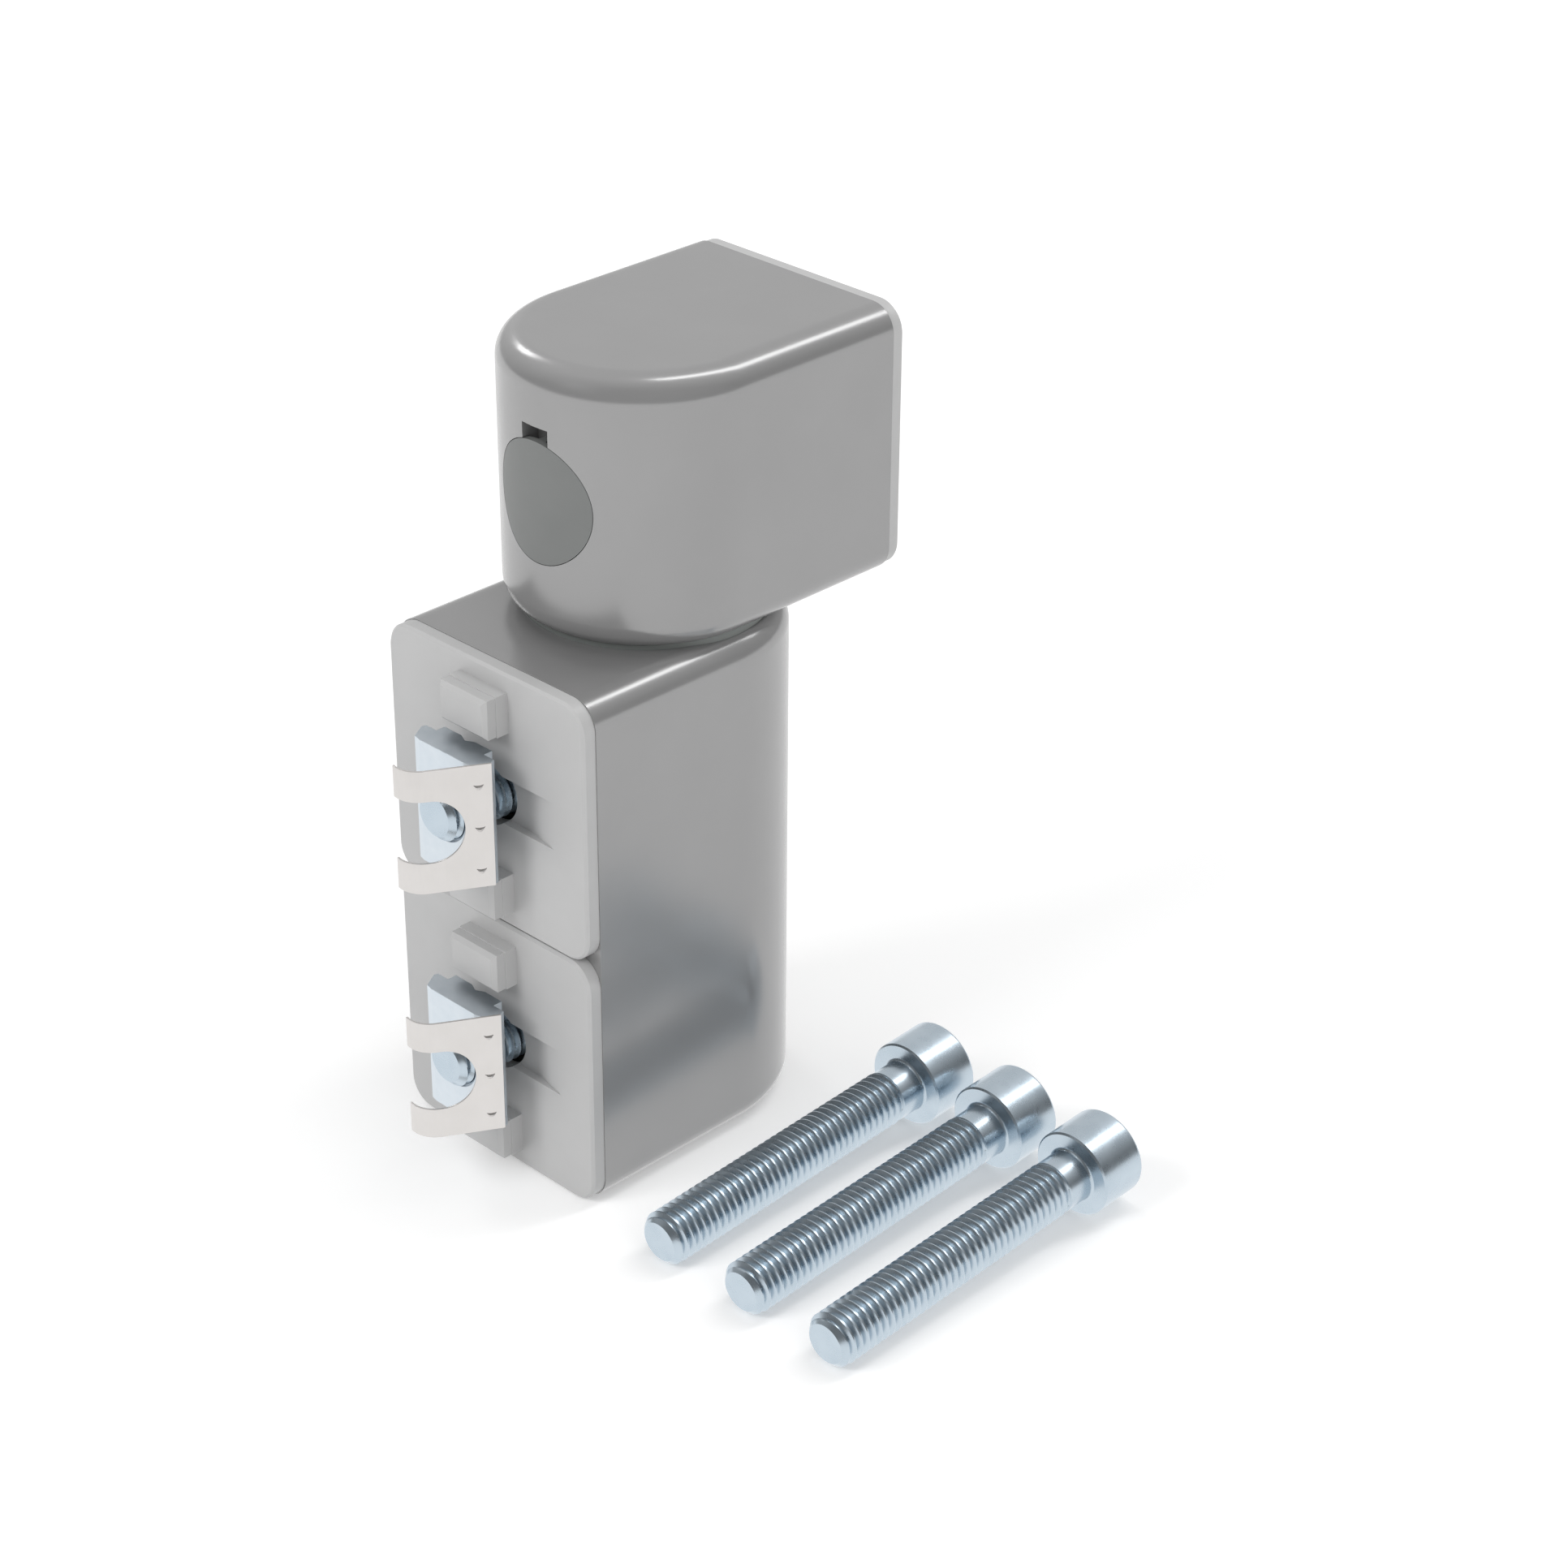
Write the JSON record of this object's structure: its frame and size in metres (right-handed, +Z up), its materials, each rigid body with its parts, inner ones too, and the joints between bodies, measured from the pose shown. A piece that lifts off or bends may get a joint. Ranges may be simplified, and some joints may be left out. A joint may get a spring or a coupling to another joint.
{
  "type": "friction joint",
  "caption": "Swivelling friction joint for T-slot profiles: D-shaped housings turn on a sleeve and bolt to the profiles through keyed plates and slot nuts.",
  "frame": {"origin": "on the pivot axis at the underside of the lower housing, which is what the joint stands on", "axes": "+Z up along the pivot axis; the lower housing's flat back faces -Y and the upper housing's flat back faces +Y at rest; +X to the side, where the spare screws lie"},
  "size_m": [0.0945, 0.0914, 0.1203],
  "materials": {
    "die_cast": "semi-gloss grey powder coat on die-cast metal",
    "sleeve_plastic": "satin moulded plastic",
    "plate_plastic": "satin moulded plastic",
    "cap_plastic": "satin moulded plastic",
    "zinc_screw": "bright blue zinc plating",
    "zinc_nut": "bright blue zinc plating",
    "zinc_washer": "zinc plating",
    "spring_steel": "bright stainless spring sheet"
  },
  "bodies": {
    "lower": {"lower_housing": "die_cast", "adapter_plate_bottom": "plate_plastic", "adapter_plate_middle": "plate_plastic", "washer_bottom": "zinc_washer", "washer_middle": "zinc_washer"},
    "sleeve": {"friction_sleeve": "sleeve_plastic"},
    "upper": {"upper_housing": "die_cast", "adapter_plate_top": "plate_plastic", "washer_top": "zinc_washer"},
    "screw_bottom": {"screw_bottom": "zinc_screw"},
    "screw_middle": {"screw_middle": "zinc_screw"},
    "screw_top": {"screw_top": "zinc_screw"},
    "nut_bottom": {"slot_nut_bottom": "zinc_nut", "nut_spring_bottom": "spring_steel"},
    "nut_middle": {"slot_nut_middle": "zinc_nut", "nut_spring_middle": "spring_steel"},
    "nut_top": {"slot_nut_top": "zinc_nut", "nut_spring_top": "spring_steel"},
    "cap_bottom": {"cap_bottom": "cap_plastic"},
    "cap_middle": {"cap_middle": "cap_plastic"},
    "cap_top": {"cap_top": "cap_plastic"},
    "spares": {"spare_screws": "zinc_screw"}
  },
  "joints": [
    {"name": "pivot", "type": "hinge", "parent": "lower", "child": "sleeve", "pos_m": [0, 0, 0.08015], "axis": [0, 0, 1], "continuous": true},
    {"name": "lift_off", "type": "slide", "parent": "sleeve", "child": "upper", "axis": [0, 0, 1], "range_m": [0, 0.031]},
    {"name": "turn_screw_bottom", "type": "hinge", "parent": "lower", "child": "screw_bottom", "pos_m": [0, 0.005, 0.02], "axis": [0, 1, 0], "range_deg": [0, 720]},
    {"name": "turn_screw_middle", "type": "hinge", "parent": "lower", "child": "screw_middle", "pos_m": [0, 0.005, 0.06], "axis": [0, 1, 0], "range_deg": [0, 720]},
    {"name": "turn_screw_top", "type": "hinge", "parent": "upper", "child": "screw_top", "pos_m": [0, -0.005, 0.1003], "axis": [0, -1, 0], "range_deg": [0, 720]},
    {"name": "draw_nut_bottom", "type": "slide", "parent": "lower", "child": "nut_bottom", "axis": [0, -1, 0], "range_m": [0, 0.0025]},
    {"name": "draw_nut_middle", "type": "slide", "parent": "lower", "child": "nut_middle", "axis": [0, -1, 0], "range_m": [0, 0.0025]},
    {"name": "draw_nut_top", "type": "slide", "parent": "upper", "child": "nut_top", "axis": [0, 1, 0], "range_m": [0, 0.0025]},
    {"name": "pull_cap_bottom", "type": "slide", "parent": "lower", "child": "cap_bottom", "axis": [0, 1, 0], "range_m": [0, 0.03]},
    {"name": "pull_cap_middle", "type": "slide", "parent": "lower", "child": "cap_middle", "axis": [0, 1, 0], "range_m": [0, 0.03]},
    {"name": "pull_cap_top", "type": "slide", "parent": "upper", "child": "cap_top", "axis": [0, -1, 0], "range_m": [0, 0.03]},
    {"name": "pick_up_spares", "type": "slide", "parent": "lower", "child": "spares", "axis": [0, 0, 1], "range_m": [0, 0.03]}
  ],
  "couplings": [
    {"joint": "turn_screw_bottom", "follows": "draw_nut_bottom", "rad_per_m": 5026.5},
    {"joint": "turn_screw_middle", "follows": "draw_nut_middle", "rad_per_m": 5026.5},
    {"joint": "turn_screw_top", "follows": "draw_nut_top", "rad_per_m": 5026.5}
  ]
}
